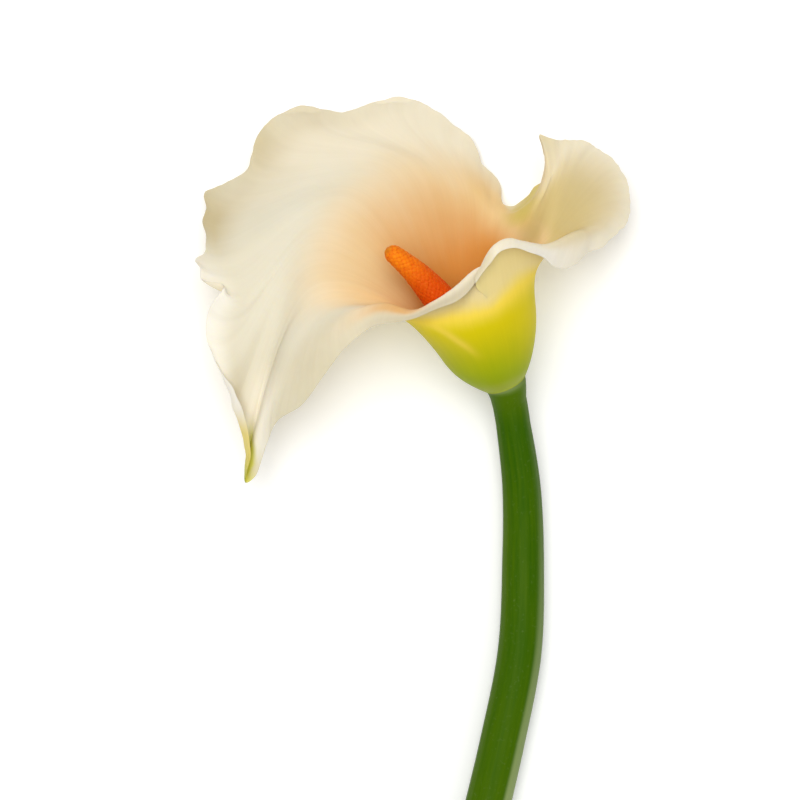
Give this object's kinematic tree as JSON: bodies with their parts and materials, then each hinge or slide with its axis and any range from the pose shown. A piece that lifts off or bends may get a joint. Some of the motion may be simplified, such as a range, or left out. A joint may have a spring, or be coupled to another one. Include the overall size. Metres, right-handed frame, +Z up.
{
  "type": "calla lily flower",
  "caption": "Cut calla lily lying on its back: a solid curved stem, a cream spathe rolled into a funnel with a waved margin and a pointed tip, and an orange spadix inside it.",
  "frame": {"origin": "middle of the flower's bounding box, at the height of the table that it lies on", "axes": "+Z up from the table; +Y along the stem from its cut end towards the bloom; +X to the right as the flower is seen from above"},
  "size_m": [0.1229, 0.2762, 0.0557],
  "materials": {
    "stem": "smooth green stalk with a satin sheen",
    "spathe": "soft cream petal, satin, yellow-green at the base of its outside",
    "spadix": "matte orange, covered with small florets"
  },
  "bodies": {
    "root": {"stem": "stem", "spathe": "spathe", "spadix": "spadix"}
  },
  "joints": []
}
